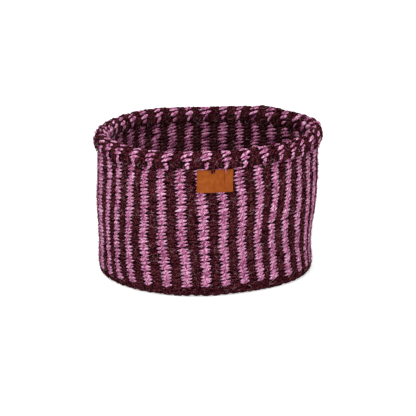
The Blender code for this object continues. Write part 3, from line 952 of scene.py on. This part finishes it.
def build_core():
    """A thick cord fills the fold of the edge."""
    count, size = 2 * COLUMNS, 16
    turn = np.linspace(0, math.tau, count, endpoint=False)
    section = np.linspace(0, math.tau, size, endpoint=False)
    radius = CUFF_CENTRE[0] + CORE_RADII[0] * np.cos(section)
    height = CUFF_CENTRE[1] + CORE_RADII[1] * np.sin(section)
    ring = place(radius[None], turn[:, None], height[None])
    first, second = np.meshgrid(np.arange(count), np.arange(size), indexing="ij")
    next_first, next_second = (first + 1) % count, (second + 1) % size
    corners = [first * size + second, next_first * size + second]
    corners += [next_first * size + next_second, first * size + next_second]
    loops = np.stack(corners, -1).ravel()
    uv = map_corners((first, first + 1, first + 1, first), (second, second, second + 1, second + 1))
    uv = uv.reshape(-1, 2) / [count, size]
    mesh = mesh_from("edge_core_cord", ring.reshape(-1, 3), loops, uv)
    add_piece("edge_core_cord", mesh, WARP, ["rim_core"])


# The label.

LABEL_WIDTH = 0.0405
LABEL_HEIGHT = 0.0265
LABEL_THICKNESS = 0.0015
LABEL_TOP = 0.1505
LABEL_OFFSET = 0.0088
LABEL_STANDS_OFF = 0.0006
# Radius of the rounded cut edge, and how thick the leather still is at its very edge.
LABEL_EDGE = 0.0005
LABEL_LEAST = 0.0004
# The crease runs down from the top edge and fades out above CREASE_END.
CREASE_AT = 0.0104
CREASE_WIDTH = 0.0005
CREASE_DEPTH = 0.0010
CREASE_END, CREASE_FADE = 0.020, 0.006
# Height of the label's waves, and their radians to a metre across and down.
WAVE, WAVES_ACROSS, WAVES_DOWN = 0.0002, 260, 170
STITCH_RISE = 0.0022
# Where the label's faces lie on its bake map: size, then the corners of front and back.
LABEL_MAP_SIZE = (0.9, 0.45)
LABEL_MAP_CORNERS = ((0.05, 0.03), (0.05, 0.52))
LABEL_MAP_EDGE = (0.975, 0.975, 0.995, 0.995)


def leather():
    material, tree, shader = new_material("tan_leather", {"Roughness": 0.6, "Specular IOR Level": 0.15})
    where = add_node(tree, "ShaderNodeTexCoord")
    blotch = add_node(tree, "ShaderNodeTexNoise", Scale=170.0, Detail=6.0, Roughness=0.8)
    pores = add_node(tree, "ShaderNodeTexVoronoi", Scale=1900.0)
    for texture in (blotch, pores):
        tree.links.new(where.outputs["Object"], texture.inputs["Vector"])
    stops = [(0.3, 129, 54, 4), (0.53, 151, 73, 17), (0.75, 174, 96, 37)]
    colour = add_ramp(tree, blotch.outputs["Fac"], stops)
    tree.links.new(colour, shader.inputs["Base Color"])
    add_bump(tree, shader, pores.outputs["Distance"], 0.35, 0.0002)
    return material


def build_label():
    columns, rows = 160, 60
    x = np.linspace(-0.5, 0.5, columns) * LABEL_WIDTH
    across, down = np.meshgrid(x, np.linspace(0, 1, rows) * LABEL_HEIGHT, indexing="ij")
    border = np.minimum(LABEL_WIDTH / 2 - np.abs(across), np.minimum(down, LABEL_HEIGHT - down))
    rounded = np.sqrt(np.clip(1 - (1 - np.clip(border / LABEL_EDGE, 0, 1)) ** 2, 0, 1))
    crease = CREASE_DEPTH * np.exp(-(((across - CREASE_AT) / CREASE_WIDTH) ** 2))
    crease = crease * ease((CREASE_END - down) / CREASE_FADE)
    wave = WAVE * np.sin(across * WAVES_ACROSS + 1) * np.sin(down * WAVES_DOWN)
    radius = wall_radius(LABEL_TOP - LABEL_HEIGHT / 2) + LABEL_STANDS_OFF
    front = radius + LABEL_LEAST + (LABEL_THICKNESS - LABEL_LEAST) * rounded - crease + wave
    angle = (LABEL_OFFSET + across) / radius
    faces = [place(reach, angle, LABEL_TOP - down).reshape(-1, 3) for reach in (front, radius)]
    index = np.arange(columns * rows).reshape(columns, rows)
    a, b, c, d = index[:-1, :-1], index[1:, :-1], index[1:, 1:], index[:-1, 1:]
    front_faces = np.stack([a, d, c, b], -1).reshape(-1, 4)
    back_faces = np.stack([a, b, c, d], -1).reshape(-1, 4) + columns * rows
    rim = np.concatenate([index[:, 0], index[-1, 1:], index[-2::-1, -1], index[0, -2:0:-1]])
    following = np.roll(rim, -1)
    sides = np.stack([rim, following, following + columns * rows, rim + columns * rows], -1)
    quads = np.concatenate([front_faces, back_faces, sides])
    flat = np.stack([across / LABEL_WIDTH + 0.5, 1 - down / LABEL_HEIGHT], -1).reshape(-1, 2)
    uv = np.concatenate([flat * LABEL_MAP_SIZE + corner for corner in LABEL_MAP_CORNERS])[quads]
    step = 1 / len(rim)
    ahead = np.arange(len(rim)) / len(rim)
    uv[-len(rim) :, :, 0] = np.stack([ahead, ahead + step, ahead + step, ahead], 1)
    uv[-len(rim) :, :, 1] = LABEL_MAP_EDGE
    mesh = mesh_from("leather_label", np.concatenate(faces), quads.ravel(), uv.reshape(-1, 2))
    add_piece("label", mesh, leather(), ["leather_label"])
    # Yarn comes down over the label's top edge and goes in through it.
    bundles = {"dark": [], "pale": []}
    for kind, offset, length, half, lean in (
        ("dark", -0.0045, 0.0042, 0.0009, 0.0006),
        ("dark", -0.0030, 0.0050, 0.0008, -0.0004),
        ("dark", -0.0014, 0.0036, 0.0008, 0.0005),
        ("pale", 0.0112, 0.0040, 0.0005, 0.0003),
    ):
        share = np.linspace(0, 1, 9)[None]
        reach = radius + (LABEL_THICKNESS + half) * (1 - share**6)
        turn = (LABEL_OFFSET + offset + lean * share) / radius
        points = place(reach, turn, LABEL_TOP + STITCH_RISE - (length + STITCH_RISE) * share)
        outs = unit(points * [1, 1, 0])
        wide = half * tapered(0.5, np.sqrt(1 - (2 * share - 1) ** 6))
        bundles[kind].append(Bundle(points, outs, wide, 0.8 * wide, 8, 500.0, 0.12, [0.3]))
    add_strands("label_stitch_dark", bundles["dark"], DARK, ["label_stitch_1"])
    add_strands("label_stitch_pale", bundles["pale"], PINK, ["label_stitch_2"])


# Loose fibres that stand off the yarn: where, how many, and from which way on.

HAIRS = (("outside", OUTER, 5000, 0.122), ("inside", INNER, 1200, 0.15), ("edge", CUFF, 1300, 0.0))
HAIR_LENGTHS = (0.002, 0.008)
HAIR_HALF_WIDTHS = (0.00006, 0.00018)
HAIR_LIFTS = (0.0002, 0.0024)
HAIR_CURL = 1.4
HAIR_RINGS = 5
HAIR_ROOT = 0.0003 - PROUD
# The clearance that loose fibres keep at the label's sides and below it.
CLEAR_BESIDE, CLEAR_BELOW = 0.002, 0.001


def before_label(points):
    """Which of these runs of points pass in front of the label."""
    off = np.arctan2(points[..., 0], -points[..., 1]) * RIM_RADIUS - LABEL_OFFSET
    height = points[..., 2]
    level = (height > LABEL_TOP - LABEL_HEIGHT - CLEAR_BELOW) & (height < LABEL_TOP)
    return (level & (np.abs(off) < LABEL_WIDTH / 2 + CLEAR_BESIDE)).any(axis=1)


def build_hairs():
    share = np.linspace(0, 1, HAIR_RINGS)[None]
    for name, skin, count, low in HAIRS:
        way = rng.uniform(low, skin.way[-1], (count, 1))
        turn = rng.uniform(0, math.tau, (count, 1))
        run = rng.uniform(*HAIR_LENGTHS, (count, 1)) * share
        heading = rng.uniform(0, math.tau, (count, 1)) + share * rng.normal(0, HAIR_CURL, (count, 1))
        turns = turn + run * np.cos(heading) / np.maximum(skin.radius(way), 0.02)
        ways = np.clip(way + run * np.sin(heading) * 0.7, 0, skin.way[-1])
        lift = rng.uniform(*HAIR_LIFTS, (count, 1))
        depth = HAIR_ROOT - lift * np.sin(share * math.pi * rng.uniform(0.6, 1.0, (count, 1)))
        points = skin.at(ways, turns, depth)
        outs = outs_of(skin, ways, turns, depth)
        half = rng.uniform(*HAIR_HALF_WIDTHS, (count, 1)) * (1 - 0.6 * share)
        kept = ~before_label(points)
        tint = rng.standard_normal(count)[kept]
        bundle = Bundle(points[kept], outs[kept], half[kept], half[kept], 3, 0.0, 0.0, tint)
        add_strands(f"loose_fibres_{name}", [bundle], HAIR)


# Floor, light and camera.

FLOOR_SIZE = 6.0
# The glow of the floor where it is seen, and the world's strength as a light and as seen.
FLOOR_GLOW = 0.58
WORLD_LIGHT, WORLD_SEEN = 0.5, 1.0
LAMP_AIM = (0, 0, 0.08)
LAMPS = (
    ("key", (-0.7, -1.4, 1.9), 0.6, 27.0),
    ("fill", (1.4, -1.5, 0.8), 1.2, 11.2),
    ("back", (0.2, 1.6, 1.6), 1.2, 7.0),
)
CAMERA_AIM = (0.0024, 0.0, 0.0785)
CAMERA_DISTANCE = 1.964
CAMERA_ELEVATION = math.radians(14.35)
CAMERA_ROLL = math.radians(-1.0)
CAMERA_LENS = 142.4
SENSOR = 36.0
CAMERA_SHIFT = -0.0126


def seen_directly(tree):
    """1 where the camera sees a surface directly, in a reflection or through something clear."""
    path = add_node(tree, "ShaderNodeLightPath")
    mirrored = math_node(tree, "MAXIMUM", path.outputs["Is Glossy Ray"], path.outputs["Is Transmission Ray"])
    return math_node(tree, "MAXIMUM", path.outputs["Is Camera Ray"], mirrored)


def build_stage():
    mesh = bpy.data.meshes.new("floor")
    half = FLOOR_SIZE / 2
    corners = [(-half, -half, 0), (half, -half, 0), (half, half, 0), (-half, half, 0)]
    mesh.from_pydata(corners, [], [(0, 1, 2, 3)])
    floor = add_object("floor", mesh)
    settings = {"Base Color": (0.9, 0.9, 0.9, 1), "Roughness": 0.9, "Specular IOR Level": 0.0}
    settings["Emission Color"] = (1, 1, 1, 1)
    material, tree, shader = new_material("floor_white", settings)
    seen = math_node(tree, "MULTIPLY", seen_directly(tree), FLOOR_GLOW)
    tree.links.new(seen, shader.inputs["Emission Strength"])
    mesh.materials.append(material)

    world = bpy.data.worlds.new("studio")
    bpy.context.scene.world = world
    world.use_nodes = True
    tree = world.node_tree
    background = tree.nodes["Background"]
    background.inputs["Color"].default_value = (1, 1, 1, 1)
    strength = add_node(tree, "ShaderNodeMapRange", **{"To Min": WORLD_LIGHT, "To Max": WORLD_SEEN})
    tree.links.new(seen_directly(tree), strength.inputs["Value"])
    tree.links.new(strength.outputs["Result"], background.inputs["Strength"])

    for name, at, size, power in LAMPS:
        light = bpy.data.lights.new(name, "AREA")
        light.shape = "DISK"
        light.size = size
        light.energy = power
        aim(add_object(name, light), at, LAMP_AIM)

    data = bpy.data.cameras.new("camera")
    data.lens = CAMERA_LENS
    data.sensor_width = SENSOR
    data.shift_y = CAMERA_SHIFT
    data.clip_start = 0.05
    camera = add_object("camera", data)
    back = CAMERA_DISTANCE * math.cos(CAMERA_ELEVATION)
    up = CAMERA_DISTANCE * math.sin(CAMERA_ELEVATION)
    at = (CAMERA_AIM[0], CAMERA_AIM[1] - back, CAMERA_AIM[2] + up)
    aim(camera, at, CAMERA_AIM, CAMERA_ROLL)
    bpy.context.scene.camera = camera
    bpy.context.scene.view_settings.view_transform = "Standard"


def aim(obj, at, target, roll=0.0):
    """Puts a camera or a lamp somewhere and turns it towards a point."""
    obj.location = at
    facing = (Vector(target) - obj.location).to_track_quat("-Z", "Y").to_matrix()
    obj.rotation_euler = (facing @ Matrix.Rotation(roll, 3, "Z")).to_euler()


build_wall()
build_base()
build_warps()
build_wraps()
build_crest()
build_groups()
build_core()
build_label()
build_hairs()
build_stage()
